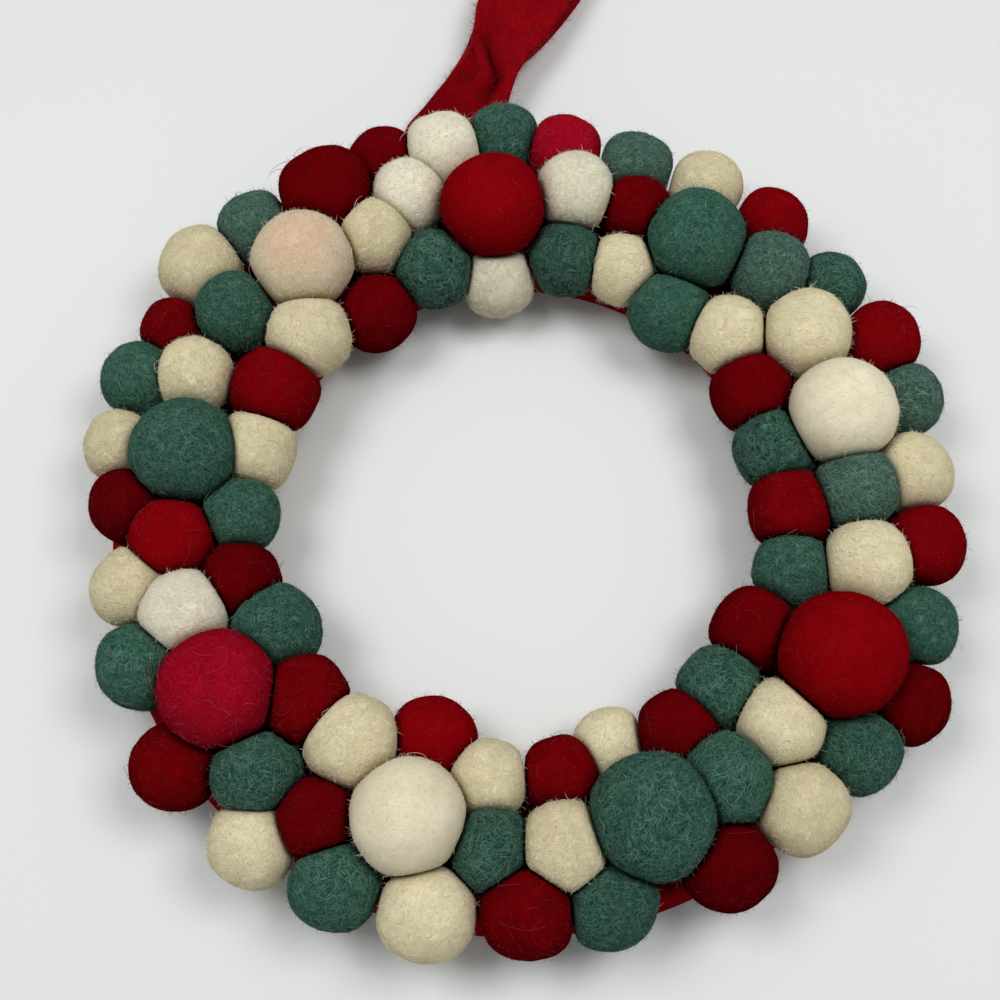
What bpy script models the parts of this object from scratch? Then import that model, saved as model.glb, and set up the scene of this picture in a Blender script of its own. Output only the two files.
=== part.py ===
"""Felt ball wreath: wool balls glued in three rows on a felt-covered ring, with a felt hanging loop.

The wreath lies on its back. +Z is up, out of its face, and +Y points to its top.
Bearings are in degrees clockwise from the top, seen from the front.
"""
from collections import namedtuple
from math import cos, pi, radians, sin

import bmesh
import bpy
import numpy as np
from mathutils import Matrix, Vector

MM = 0.001
GAP = 0.3 * MM  # between neighbouring pieces

# Base ring: a flat back and a rounded top
BASE_MIDDLE = 116 * MM  # radius of its middle line
BASE_HALF_WIDTH = 26 * MM
BASE_HEIGHT = 16 * MM
BASE_ROUNDNESS = 2.5  # exponent of the section's curve: 2 is an ellipse, more is squarer
BASE_SECTION_STEPS = 10
BASE_TURN_STEPS = 44

# Felt balls
LARGE_BALL = 34 * MM  # balls wider than this get more faces
NECK_RADIUS = 3 * MM  # where two balls are felted together
NECK_SIDES = 8

# Hanging loop: one strip, folded back on itself, with both ends in a pocket in the ring's back
STRIP_START = (-35.5 * MM, 122.5 * MM)  # middle of the strip's ends, inside the pocket
STRIP_BEARING = 23.8  # degrees, the way that the strip runs
STRIP_THICKNESS = 2 * MM
STRIP_WIDTH = 34 * MM
STRIP_COLUMNS = 6
LOOP_END_STEPS = 6
LOOP_END_AT = 112 * MM  # along the strip from its start
POCKET_DEPTH = STRIP_THICKNESS * 2 + GAP * 2.5
POCKET_SIDE_ROOM = 1.5 * MM
POCKET_OVERSHOOT = 12 * MM  # how far the pocket's cutter reaches past the ring's edge

# Wool and felt colours: linear red, green, blue and roughness
WOOLS = {
    "cream": ((0.63, 0.55, 0.38), 0.95),
    "oatmeal": ((0.62, 0.57, 0.49), 0.95),
    "white": ((0.68, 0.64, 0.55), 0.95),
    "blush": ((0.62, 0.50, 0.41), 0.95),
    "teal": ((0.05, 0.15, 0.12), 0.95),
    "red": ((0.26, 0.004, 0.01), 0.95),
    "dark_red": ((0.15, 0.003, 0.008), 0.95),
    "crimson": ((0.28, 0.004, 0.03), 0.95),
    "felt_red": ((0.25, 0.004, 0.012), 0.9),
}

# Columns: bearing in degrees, reach from the ring's centre, width, lift above the seat (mm), wool
Ball = namedtuple("Ball", "bearing reach width lift wool")
OUTER_ROW = tuple(Ball(*row) for row in (
    (7.5, 134, 26, 0, "crimson"),
    (19, 133, 26, 0, "teal"),
    (30, 137, 26, 0, "cream"),
    (41.5, 138.5, 26, 0, "red"),
    (54.5, 137, 24, 0, "teal"),
    (65.5, 140, 27, 0, "red"),
    (75, 140, 25, 0, "teal"),
    (86.5, 134, 27, 0, "cream"),
    (97, 137, 27, 0, "red"),
    (108.5, 139, 26, 0, "teal"),
    (118.5, 145, 27, 0, "dark_red"),
    (128, 139, 26.5, 0, "teal"),
    (139, 137, 29, 0, "cream"),
    (151.5, 138, 29, 0, "dark_red"),
    (167.5, 136, 28, 0, "teal"),
    (178.5, 135, 29, 0, "red"),
    (191.5, 138, 30, 0, "cream"),
    (204, 139, 28.5, 0, "teal"),
    (216, 141, 28, 0, "cream"),
    (230.5, 142, 28, 0, "red"),
    (244.5, 135, 28, 0, "teal"),
    (256, 131, 26, 0, "cream"),
    (268.5, 131, 25, 0, "dark_red"),
    (278, 137, 24, 0, "cream"),
    (288.5, 138, 25.5, 0, "teal"),
    (297.5, 136, 22, 0, "red"),
    (307.5, 142, 29, 0, "cream"),
    (317.5, 139, 26, 0, "teal"),
    (329, 132, 33, 0, "dark_red"),
    (339.5, 139, 25, 0, "dark_red"),
    (348.5, 135, 28, 0, "oatmeal"),
    (358, 139, 26, 0, "teal"),
))
MIDDLE_ROW = tuple(Ball(*row) for row in (
    (10.5, 115, 27, 3, "oatmeal"),
    (21.5, 116.5, 24.5, 0, "dark_red"),
    (34, 113, 35, 0, "teal"),
    (47, 122, 27, 0, "teal"),
    (60, 116, 30, 0, "cream"),
    (76, 113, 37, 0, "cream"),
    (89, 114, 28, 0, "teal"),
    (102, 118, 29, 0, "cream"),
    (118.5, 118, 41, 0, "red"),
    (132.5, 114, 28, 0, "cream"),
    (145.4, 115.5, 29.5, 0, "teal"),
    (158.5, 115, 40, 0, "teal"),
    (172.4, 117, 29, 0, "cream"),
    (184, 116.5, 26, 0, "teal"),
    (197.5, 112, 37, 0, "cream"),
    (210.5, 124, 26, 0, "dark_red"),
    (221.5, 124, 28, 0, "teal"),
    (234.5, 116, 38.5, 0, "crimson"),
    (249, 115.5, 29.5, 0, "white"),
    (262, 115, 28, 0, "red"),
    (277, 112, 36, 0, "teal"),
    (291.5, 119, 26, 0, "cream"),
    (304.5, 119, 27, 0, "teal"),
    (318.5, 113, 35.5, 0, "blush"),
    (332.5, 110, 26, 0, "cream"),
    (341, 120, 26, 0, "oatmeal"),
    (355.5, 105.5, 37, 2, "red"),
))
INNER_ROW = tuple(Ball(*row) for row in (
    (11, 92, 26, 0, "teal"),
    (23.5, 94, 25, 0, "cream"),
    (37.5, 88.5, 28, 0, "teal"),
    (51, 95, 27, 0, "cream"),
    (64.5, 90, 28, 0, "dark_red"),
    (78.5, 90, 28, 0, "teal"),
    (92.5, 92, 28, 0, "red"),
    (105.5, 95, 26, 0, "teal"),
    (120, 90, 28, 0, "dark_red"),
    (134.5, 92, 27, 0, "teal"),
    (146.5, 94, 26, 0, "dark_red"),
    (160, 87, 23, 0, "cream"),
    (171.5, 93, 24, 0, "red"),
    (185.5, 94.5, 25, 0, "cream"),
    (198.5, 85, 28, 0, "red"),
    (212.5, 98, 30, 0, "cream"),
    (224.5, 97.5, 29.5, 0, "red"),
    (240, 91, 30, 0, "teal"),
    (252, 96, 27, 0, "dark_red"),
    (266, 93, 26, 1, "teal"),
    (281, 91, 28, 0, "cream"),
    (295, 92, 30, 0, "red"),
    (309, 93, 29, 2, "cream"),
    (325, 86, 27, 0, "dark_red"),
    (341.5, 91, 27, 0, "teal"),
    (355.5, 84.5, 25.5, 0, "oatmeal"),
))
ROWS = {"outer": OUTER_ROW, "middle": MIDDLE_ROW, "inner": INNER_ROW}

# Touching balls that are felted into one piece. Each joins the nearest ball named before it.
FELTED_TOGETHER = (
    (
        "felt_ball_outer_31", "felt_ball_middle_26", "felt_ball_middle_25",
        "felt_ball_middle_24", "felt_ball_inner_23",
    ),
    ("felt_ball_middle_03", "felt_ball_middle_04", "felt_ball_outer_05", "felt_ball_inner_03"),
    ("felt_ball_inner_04", "felt_ball_middle_05", "felt_ball_middle_06", "felt_ball_outer_07"),
    ("felt_ball_middle_09", "felt_ball_inner_09", "felt_ball_outer_11"),
    ("felt_ball_inner_10", "felt_ball_middle_10", "felt_ball_outer_13"),
    ("felt_ball_middle_11", "felt_ball_middle_12", "felt_ball_outer_15"),
    ("felt_ball_inner_14", "felt_ball_middle_15", "felt_ball_outer_17", "felt_ball_inner_16"),
    ("felt_ball_outer_20", "felt_ball_middle_18", "felt_ball_inner_17"),
    ("felt_ball_middle_19", "felt_ball_outer_22"),
    ("felt_ball_inner_19", "felt_ball_middle_20", "felt_ball_outer_23"),
    ("felt_ball_middle_21", "felt_ball_inner_20", "felt_ball_outer_24"),
    ("felt_ball_outer_30", "felt_ball_outer_29"),
)

# Upper run of the strip. Columns: distance from the start, height of its edges, width, depth of the
# valley pressed into it (mm), and the valley's place across, from -1 at the left edge to 1
Section = namedtuple("Section", "along height width valley place")
UPPER_RUN = tuple(Section(*row) for row in (
    (0, 3.3, 34, 0, 0.3),
    (31, 3.3, 33, 0, 0.3),
    (38, 7.5, 30, 1, 0.3),
    (45, 12, 28, 3, 0.3),
    (52, 15, 26, 5.5, 0.35),
    (58, 16.5, 24.5, 6.5, 0.4),
    (65, 16.5, 24.5, 6, -0.1),
    (72, 16.2, 26.5, 5, -0.5),
    (81, 15.6, 30.5, 3, -0.4),
    (93, 15, 34, 1, -0.3),
))
# Lower run of the strip, on the way back. Columns: distance from the start, width, and how far its
# middle lies to the right of the upper run's (mm)
Lower = namedtuple("Lower", "along width sideways")
LOWER_RUN = tuple(Lower(*row) for row in (
    (105, 32, -2),
    (95, 31, -1),
    (81, 27, -1.5),
    (70, 22.5, -1.5),
    (58, 21.5, -1.5),
    (45, 25, -1),
    (31, 31, 0),
    (0, 34, 0),
))
VALLEY_SPREAD = 0.3  # of half the strip's width


def clear_scene():
    for old in list(bpy.data.objects):
        bpy.data.objects.remove(old)


def material(wool):
    """The Principled material of one wool, made once."""
    found = bpy.data.materials.get(wool)
    if found:
        return found
    colour, roughness = WOOLS[wool]
    made = bpy.data.materials.new(wool)
    made.use_nodes = True
    shader = made.node_tree.nodes["Principled BSDF"]
    shader.inputs["Base Color"].default_value = (*colour, 1)
    shader.inputs["Roughness"].default_value = roughness
    shader.inputs["Metallic"].default_value = 0
    return made


def finish_mesh(shape, name, smooth=True):
    """A mesh from a bmesh, with its faces pointing out, shaded smooth except at sharp edges."""
    bmesh.ops.recalc_face_normals(shape, faces=shape.faces)
    mesh = bpy.data.meshes.new(name)
    shape.to_mesh(mesh)
    shape.free()
    if smooth:
        mesh.shade_smooth()
        mesh.set_sharp_from_angle(angle=radians(50))
    return mesh


def add_object(name, mesh, location=(0, 0, 0), parent=None):
    made = bpy.data.objects.new(name, mesh)
    made.location = location
    made.parent = parent
    bpy.context.collection.objects.link(made)
    return made


def combine(meshes, operation, name):
    """The first mesh joined with, or cut by, each of the others, as one closed body."""
    bodies = [add_object("working_body", mesh) for mesh in meshes]
    for other in bodies[1:]:
        step = bodies[0].modifiers.new("combine", "BOOLEAN")
        step.operation = operation
        step.solver = "EXACT"
        step.material_mode = "TRANSFER"
        step.object = other
    bpy.context.view_layer.update()
    graph = bpy.context.evaluated_depsgraph_get()
    result = bpy.data.meshes.new_from_object(bodies[0].evaluated_get(graph))
    result.name = name
    for body in bodies:
        bpy.data.objects.remove(body)
    return result


def base_section(steps):
    """Points (radius, height) along the ring's rounded top, from its inner to its outer edge."""
    turn = np.linspace(pi, 0, steps + 1)
    across = np.sign(np.cos(turn)) * np.abs(np.cos(turn)) ** (2 / BASE_ROUNDNESS)
    up = np.abs(np.sin(turn)) ** (2 / BASE_ROUNDNESS)
    return BASE_MIDDLE + BASE_HALF_WIDTH * across, BASE_HEIGHT * up


def seat_height(reach, radius):
    """Height of a ball's centre when it is let down onto the ring until it is one gap away.

    Over each point of the section the centre can be no lower than the point's height plus
    the square root of (radius + gap) squared minus the level distance squared.
    """
    section_radius, section_height = base_section(200)
    room = (radius + GAP) ** 2 - (reach - section_radius) ** 2
    return float(np.max(np.where(room > 0, section_height + np.sqrt(np.maximum(room, 0)), 0)))


def placed_balls():
    """Name, centre, radius and wool of every ball."""
    balls = {}
    for row, entries in ROWS.items():
        for number, ball in enumerate(entries, 1):
            reach, radius = ball.reach * MM, ball.width * MM / 2
            height = seat_height(reach, radius) + ball.lift * MM
            turn = radians(ball.bearing)
            centre = Vector((reach * sin(turn), reach * cos(turn), height))
            balls[f"felt_ball_{row}_{number:02d}"] = (centre, radius, ball.wool)
    return balls


def contact_flats(name, balls, together):
    """Direction and distance of the flat that each touching neighbour presses into a ball.

    The flat lies in the plane of the circle where the two spheres would cross, half a gap nearer.
    """
    centre, radius, _ = balls[name]
    flats = []
    for other, (other_centre, other_radius, _) in balls.items():
        apart = other_centre - centre
        if other == name or other in together or apart.length >= radius + other_radius + GAP:
            continue
        plane = (apart.length_squared + radius**2 - other_radius**2) / (2 * apart.length)
        flats.append((apart.normalized(), plane - GAP / 2))
    return flats


def ball_mesh(name, balls, together, offset=Vector((0, 0, 0))):
    """A sphere whose points are drawn in to the flats that its neighbours press into it."""
    centre, radius, wool = balls[name]
    flats = contact_flats(name, balls, together)
    shape = bmesh.new()
    if radius * 2 > LARGE_BALL:
        bmesh.ops.create_uvsphere(shape, u_segments=12, v_segments=8, radius=radius)
    else:
        bmesh.ops.create_icosphere(shape, subdivisions=2, radius=radius)
    for point in shape.verts:
        way = point.co.normalized()
        reach = radius
        for normal, distance in flats:
            facing = way.dot(normal)
            if facing > 0:
                reach = min(reach, distance / facing)
        point.co = way * reach + offset
    mesh = finish_mesh(shape, name)
    mesh.materials.append(material(wool))
    return mesh


def neck_mesh(start, end, wool):
    """A short bar between the centres of two balls that are felted together."""
    along = end - start
    shape = bmesh.new()
    turned = along.to_track_quat("Z", "Y").to_matrix().to_4x4()
    bmesh.ops.create_cone(
        shape,
        cap_ends=True,
        segments=NECK_SIDES,
        radius1=NECK_RADIUS,
        radius2=NECK_RADIUS,
        depth=along.length,
        matrix=Matrix.Translation((start + end) / 2) @ turned,
    )
    mesh = finish_mesh(shape, "neck")
    mesh.materials.append(material(wool))
    return mesh


def make_balls(parent):
    balls = placed_balls()
    grouped = {member: group for group in FELTED_TOGETHER for member in group}
    for name, (centre, _, _) in balls.items():
        if name not in grouped:
            add_object(name, ball_mesh(name, balls, ()), centre, parent)
    for number, group in enumerate(FELTED_TOGETHER, 1):
        first_centre = balls[group[0]][0]
        meshes = []
        for order, member in enumerate(group):
            centre, radius, wool = balls[member]
            meshes.append(ball_mesh(member, balls, group, centre - first_centre))
            if order:
                nearest = min(group[:order], key=lambda other: (balls[other][0] - centre).length)
                start = balls[nearest][0] - first_centre
                meshes.append(neck_mesh(start, centre - first_centre, wool))
        joined = combine(meshes, "UNION", f"felt_ball_group_{number:02d}")
        add_object(joined.name, joined, first_centre, parent)


def strip_direction():
    turn = radians(STRIP_BEARING)
    return Vector((sin(turn), cos(turn), 0)), Vector((cos(turn), -sin(turn), 0))


def strip_row(along, height, width, valley=0.0, place=0.0, sideways=0.0):
    """One row of points across the strip: level at the edges, with a soft valley between."""
    ahead, across = strip_direction()
    start = Vector((*STRIP_START, 0))
    row = []
    for column in range(STRIP_COLUMNS + 1):
        side = 2 * column / STRIP_COLUMNS - 1
        dip = valley * np.exp(-(((side - place) / VALLEY_SPREAD) ** 2) / 2)
        from_middle = side * width / 2 + sideways
        row.append(start + ahead * along + across * from_middle + Vector((0, 0, height - dip)))
    return row


def strip_rows():
    """Rows from the upper end, round the far end of the loop and back along the surface."""
    rows = []
    for section in UPPER_RUN:
        sizes = [size * MM for size in section[:4]]
        rows.append(strip_row(*sizes, section.place))
    low = STRIP_THICKNESS / 2
    high = UPPER_RUN[-1].height * MM
    bend = (high - low) / 2
    for step in range(LOOP_END_STEPS + 1):
        turn = pi * step / LOOP_END_STEPS
        rows.append(strip_row(LOOP_END_AT + bend * sin(turn), low + bend + bend * cos(turn), STRIP_WIDTH))
    for section in LOWER_RUN:
        rows.append(strip_row(section.along * MM, low, section.width * MM, sideways=section.sideways * MM))
    return rows


def make_loop(parent):
    rows = strip_rows()
    shape = bmesh.new()
    points = [[shape.verts.new(point) for point in row] for row in rows]
    for near, far in zip(points, points[1:]):
        for column in range(STRIP_COLUMNS):
            shape.faces.new((near[column], near[column + 1], far[column + 1], far[column]))
    mesh = finish_mesh(shape, "hanging_loop")
    mesh.materials.append(material("felt_red"))
    loop = add_object("hanging_loop", mesh, parent=parent)
    cloth = loop.modifiers.new("cloth thickness", "SOLIDIFY")
    cloth.thickness = STRIP_THICKNESS
    cloth.offset = 0
    cloth.use_even_offset = True


def pocket_cutter():
    """A box over the strip's two ends, open at the ring's back and at its outer edge."""
    ahead, across = strip_direction()
    length = BASE_HALF_WIDTH + POCKET_OVERSHOOT
    width = STRIP_WIDTH + 2 * POCKET_SIDE_ROOM
    middle = Vector((*STRIP_START, 0)) + ahead * (length / 2 - GAP)
    shape = bmesh.new()
    bmesh.ops.create_cube(shape, size=1)
    bmesh.ops.scale(shape, vec=(width, length, POCKET_DEPTH * 2), verts=shape.verts)
    bmesh.ops.rotate(shape, matrix=Matrix.Rotation(-radians(STRIP_BEARING), 3, "Z"), verts=shape.verts)
    bmesh.ops.translate(shape, vec=middle, verts=shape.verts)
    mesh = finish_mesh(shape, "pocket", smooth=False)
    mesh.materials.append(material("felt_red"))
    return mesh


def make_base(parent):
    radii, heights = base_section(BASE_SECTION_STEPS)
    shape = bmesh.new()
    points = [shape.verts.new((radius, 0, height)) for radius, height in zip(radii, heights)]
    edges = [shape.edges.new(pair) for pair in zip(points, points[1:] + points[:1])]
    bmesh.ops.spin(
        shape,
        geom=points + edges,
        cent=(0, 0, 0),
        axis=(0, 0, 1),
        angle=2 * pi,
        steps=BASE_TURN_STEPS,
        use_merge=True,
    )
    bmesh.ops.remove_doubles(shape, verts=shape.verts, dist=0.00001)
    ring = finish_mesh(shape, "ring")
    ring.materials.append(material("felt_red"))
    base = combine([ring, pocket_cutter()], "DIFFERENCE", "base_ring")
    add_object("base_ring", base, parent=parent)


def stand_on_origin(wreath):
    """Moves the wreath so that the middle of its box's underside is the origin."""
    bpy.context.view_layer.update()
    graph = bpy.context.evaluated_depsgraph_get()
    corners = []
    for piece in wreath.children:
        mesh = piece.evaluated_get(graph).to_mesh()
        corners += [piece.matrix_world @ point.co for point in mesh.vertices]
    low = Vector(min(corner[axis] for corner in corners) for axis in range(3))
    high = Vector(max(corner[axis] for corner in corners) for axis in range(3))
    wreath.location = (-(low.x + high.x) / 2, -(low.y + high.y) / 2, -low.z)


def main():
    clear_scene()
    wreath = bpy.data.objects.new("wreath", None)
    bpy.context.collection.objects.link(wreath)
    make_base(wreath)
    make_balls(wreath)
    make_loop(wreath)
    stand_on_origin(wreath)
    bpy.context.view_layer.update()


main()
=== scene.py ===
"""The looks of a felt ball wreath.

Felted wool balls with loose fibres sit on a felt-covered ring, which hangs by a folded strip of felt.
Lengths in the tables are millimetres, and bearings are degrees clockwise from the wreath's top.
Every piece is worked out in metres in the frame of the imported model.
"""
from collections import namedtuple
from math import cos, pi, radians, sin

import bpy
import numpy as np
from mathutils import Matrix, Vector


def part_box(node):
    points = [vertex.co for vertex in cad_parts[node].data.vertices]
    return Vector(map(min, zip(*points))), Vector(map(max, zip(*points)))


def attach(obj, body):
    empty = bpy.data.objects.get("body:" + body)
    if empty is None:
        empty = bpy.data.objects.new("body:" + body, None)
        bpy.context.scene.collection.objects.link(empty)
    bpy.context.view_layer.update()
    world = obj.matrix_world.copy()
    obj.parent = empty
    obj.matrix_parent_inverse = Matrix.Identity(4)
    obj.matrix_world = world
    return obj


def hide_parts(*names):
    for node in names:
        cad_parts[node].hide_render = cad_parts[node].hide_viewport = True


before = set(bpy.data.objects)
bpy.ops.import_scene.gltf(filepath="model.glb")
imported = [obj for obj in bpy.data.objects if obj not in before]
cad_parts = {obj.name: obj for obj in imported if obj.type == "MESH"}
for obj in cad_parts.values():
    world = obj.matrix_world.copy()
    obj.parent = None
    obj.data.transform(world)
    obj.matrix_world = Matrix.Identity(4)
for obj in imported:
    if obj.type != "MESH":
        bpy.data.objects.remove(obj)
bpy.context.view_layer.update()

MM = 0.001
GAP = 0.3 * MM

# The ring under the balls
BASE_MIDDLE = 116 * MM  # radius of its middle line
BASE_HALF_WIDTH = 26 * MM
BASE_HEIGHT = 16 * MM
BASE_ROUNDNESS = 2.5  # exponent of its section: 2 is an ellipse, more is squarer
RING_TOP_STEPS = 40
RING_BACK_STEPS = 10
RING_TURN_STEPS = 240
RING_SHARP_ANGLE = 50
RING_GIRTH = 120 * MM  # round the ring's section
SEAT_STEPS = 200  # along the section, where a ball's seat is looked for
GAP_SHADE = 0.85  # how much painted shade darkens the felt under the balls, in the gaps between them
GAP_SHADE_EDGE = (0.1, 0.3)  # of the half width in from the ring's edges: where that starts and is full
ring_low, ring_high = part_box("base_ring")
RING_CENTRE = np.array([(ring_low.x + ring_high.x) / 2, (ring_low.y + ring_high.y) / 2, 0.0])

# The hanging loop's strip of felt
STRIP_START = (-35.5 * MM, 122.5 * MM)  # x and y from the ring's centre
STRIP_BEARING = 23.8
STRIP_WIDTH = 34 * MM
STRIP_THICKNESS = 2 * MM
LOOP_END_AT = 112 * MM
LOOP_END_STEPS = 18
STRIP_STEP = 1.2 * MM
STRIP_COLUMNS = 33
POCKET_DEPTH = STRIP_THICKNESS * 2 + GAP * 2.5  # for both ends, one on the other, and a little room
POCKET_SIDE_ROOM = 1.5 * MM
POCKET_OVERSHOOT = 12 * MM  # so that the cut runs out past the ring's edge

# The photograph's view of the wreath: its centre in a frame of 1000 x 1000 pixels
FRAME_PIXELS = 1000
CENTRE_AT = (516.6, 521.5)
FOCAL_PIXELS = 1437
SENSOR = 36  # mm
CLIP_START = 0.01
CAMERA_ELEVATION = 72.5
CAMERA_DISTANCE = 510 * MM

# The table and the light on it, in metres and watts
TABLE_REACH = 3.0
TABLE_CLEARANCE = 0.05 * MM  # under the lowest fibres
Lamp = namedtuple("Lamp", "name place size power")
LAMPS = (
    Lamp("window_right", (0.5, 0.05, 1.1), 0.5, 5.4),
    Lamp("window_left", (-0.5, 0.05, 1.1), 0.5, 5.1),
    Lamp("ceiling", (0.0, 0.2, 1.5), 1.6, 2.4),
)
ROOM_COLOUR = "dfe3e6"
ROOM_STRENGTH = 0.37

# How the balls press together
BALL_BULGE = 0.055  # of the radius, where wool is squeezed out beside a contact
LARGE_BULGE = 0.015  # the same for the large balls, which stand free of their neighbours
LARGE_RADIUS = 17 * MM
BULGE_REACH = (0.1, 0.75)  # cosine to the contact's direction: where the bulge starts and is full
CONTACT_SHARPNESS = 17  # exponent of the blend between the round surface and the flats
NEAR_TOUCH = 1.07  # of the two radii's sum: closer balls press on each other
BALL_ROWS = 24  # steps of a ball's grid from pole to pole
BALL_COLUMNS = 48  # and round it

# Uneven felting, as waves over a ball. Columns: how many, how tightly they wind, height (of the radius)
Waves = namedtuple("Waves", "count winding height")
FELTING = (Waves(5, 2.2, 0.016), Waves(9, 5.0, 0.007), Waves(14, 11.0, 0.0028))

# Columns: bearing, reach from the ring's centre, width, lift above the seat (mm), wool
Ball = namedtuple("Ball", "bearing reach width lift wool")
OUTER_ROW = tuple(Ball(*row) for row in (
    (7.5, 134, 26, 0, "crimson"),
    (19, 133, 26, 0, "grey_teal"),
    (30, 137, 26, 0, "cream"),
    (41.5, 138.5, 26, 0, "red"),
    (54.5, 137, 24, 0, "teal"),
    (65.5, 140, 27, 0, "red"),
    (75, 140, 25, 0, "grey_teal"),
    (86.5, 134, 27, 0, "cream"),
    (97, 137, 27, 0, "red"),
    (108.5, 139, 26, 0, "teal"),
    (118.5, 145, 27, 0, "dark_red"),
    (128, 139, 26.5, 0, "teal"),
    (139, 137, 29, 0, "cream"),
    (151.5, 138, 29, 0, "dark_red"),
    (167.5, 136, 28, 0, "teal"),
    (178.5, 135, 29, 0, "red"),
    (191.5, 138, 30, 0, "cream"),
    (204, 139, 28.5, 0, "teal"),
    (216, 141, 28, 0, "cream"),
    (230.5, 142, 28, 0, "red"),
    (244.5, 135, 28, 0, "teal"),
    (256, 131, 26, 0, "cream"),
    (268.5, 131, 25, 0, "dark_red"),
    (278, 137, 24, 0, "cream"),
    (288.5, 138, 25.5, 0, "teal"),
    (297.5, 136, 22, 0, "red"),
    (307.5, 142, 29, 0, "cream"),
    (317.5, 139, 26, 0, "grey_teal"),
    (329, 132, 33, 0, "dark_red"),
    (339.5, 139, 25, 0, "dark_red"),
    (348.5, 135, 28, 0, "oatmeal"),
    (358, 139, 26, 0, "teal"),
))
MIDDLE_ROW = tuple(Ball(*row) for row in (
    (10.5, 115, 27, 3, "oatmeal"),
    (21.5, 116.5, 24.5, 0, "dark_red"),
    (34, 113, 35, 0, "teal"),
    (47, 122, 27, 0, "grey_teal"),
    (60, 116, 30, 0, "cream"),
    (76, 113, 37, 0, "smooth_cream"),
    (89, 114, 28, 0, "grey_teal"),
    (102, 118, 29, 0, "cream"),
    (118.5, 118, 41, 0, "red"),
    (132.5, 114, 28, 0, "cream"),
    (145.4, 115.5, 29.5, 0, "teal"),
    (158.5, 115, 40, 0, "teal"),
    (172.4, 117, 29, 0, "cream"),
    (184, 116.5, 26, 0, "teal"),
    (197.5, 112, 37, 0, "smooth_cream"),
    (210.5, 124, 26, 0, "dark_red"),
    (221.5, 124, 28, 0, "teal"),
    (234.5, 116, 38.5, 0, "crimson"),
    (249, 115.5, 29.5, 0, "white"),
    (262, 115, 28, 0, "red"),
    (277, 112, 36, 0, "teal"),
    (291.5, 119, 26, 0, "cream"),
    (304.5, 119, 27, 0, "teal"),
    (318.5, 113, 35.5, 0, "blush"),
    (332.5, 110, 26, 0, "cream"),
    (341, 120, 26, 0, "oatmeal"),
    (355.5, 105.5, 37, 2, "red"),
))
INNER_ROW = tuple(Ball(*row) for row in (
    (11, 92, 26, 0, "teal"),
    (23.5, 94, 25, 0, "cream"),
    (37.5, 88.5, 28, 0, "teal"),
    (51, 95, 27, 0, "cream"),
    (64.5, 90, 28, 0, "dark_red"),
    (78.5, 90, 28, 0, "teal"),
    (92.5, 92, 28, 0, "red"),
    (105.5, 95, 26, 0, "teal"),
    (120, 90, 28, 0, "dark_red"),
    (134.5, 92, 27, 0, "teal"),
    (146.5, 94, 26, 0, "dark_red"),
    (160, 87, 23, 0, "cream"),
    (171.5, 93, 24, 0, "red"),
    (185.5, 94.5, 25, 0, "cream"),
    (198.5, 85, 28, 0, "red"),
    (212.5, 98, 30, 0, "cream"),
    (224.5, 97.5, 29.5, 0, "red"),
    (240, 91, 30, 0, "teal"),
    (252, 96, 27, 0, "dark_red"),
    (266, 93, 26, 1, "teal"),
    (281, 91, 28, 0, "cream"),
    (295, 92, 30, 0, "red"),
    (309, 93, 29, 2, "cream"),
    (325, 86, 27, 0, "dark_red"),
    (341.5, 91, 27, 0, "teal"),
    (355.5, 84.5, 25.5, 0, "oatmeal"),
))
ROWS = {"outer": OUTER_ROW, "middle": MIDDLE_ROW, "inner": INNER_ROW}

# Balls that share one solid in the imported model. The solids are numbered in this order
FELTED_TOGETHER = (
    ("outer_31", "middle_26", "middle_25", "middle_24", "inner_23"),
    ("middle_03", "middle_04", "outer_05", "inner_03"),
    ("inner_04", "middle_05", "middle_06", "outer_07"),
    ("middle_09", "inner_09", "outer_11"),
    ("inner_10", "middle_10", "outer_13"),
    ("middle_11", "middle_12", "outer_15"),
    ("inner_14", "middle_15", "outer_17", "inner_16"),
    ("outer_20", "middle_18", "inner_17"),
    ("middle_19", "outer_22"),
    ("inner_19", "middle_20", "outer_23"),
    ("middle_21", "inner_20", "outer_24"),
    ("outer_30", "outer_29"),
)

# Upper run of the strip. Columns: distance from the start, height of its edges, width, depth of the
# valley pressed into it (mm), the valley's place across, how far its left lip curls over, and how far
# its left edge spreads further out (mm)
Section = namedtuple("Section", "along height width valley place curl spread")
UPPER_RUN = tuple(Section(*row) for row in (
    (0, 3.3, 34, 0, 0.3, 0, 0),
    (20, 3.3, 33.5, 0, 0.3, 0, 1),
    (31, 3.3, 33, 0, 0.3, 0, 4),
    (38, 7.5, 30, 1, 0.3, 0, 2),
    (45, 12, 28, 3, 0.3, 0.3, 0),
    (52, 15, 26, 5.5, 0.35, 1, -1.2),
    (58, 16.5, 24.5, 6.5, 0.4, 1.6, -1.6),
    (65, 16.5, 24.5, 6, -0.1, 1.5, -1.6),
    (72, 16.2, 26.5, 5, -0.5, 1, -1.4),
    (81, 15.6, 30.5, 3, -0.4, 0.3, -0.8),
    (93, 15, 32.5, 1, -0.3, 0, 0),
    (112, 15, 34, 0, -0.3, 0, 0),
))
VALLEY_SPREAD = 0.2  # of half the strip's width
FORK_DEPTH = 0.35  # of the valley's, in the smaller fork
FORK_ASIDE = 0.75  # of half the strip's width, to the left of the valley
LIP_WIDTH = 0.45  # of half the strip's width
LIP_RISE = 1.2  # of how far the lip curls over
DEEP_VALLEY = 6  # mm
VALLEY_SHADE = 0.9  # how much painted shade darkens the felt in a deep valley
LOW_SHADE = 0.35  # and painted shade where the strip dips down to the ring
LOW_REACH = (30, 62)  # mm along: where that shade starts to go and is gone

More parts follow.
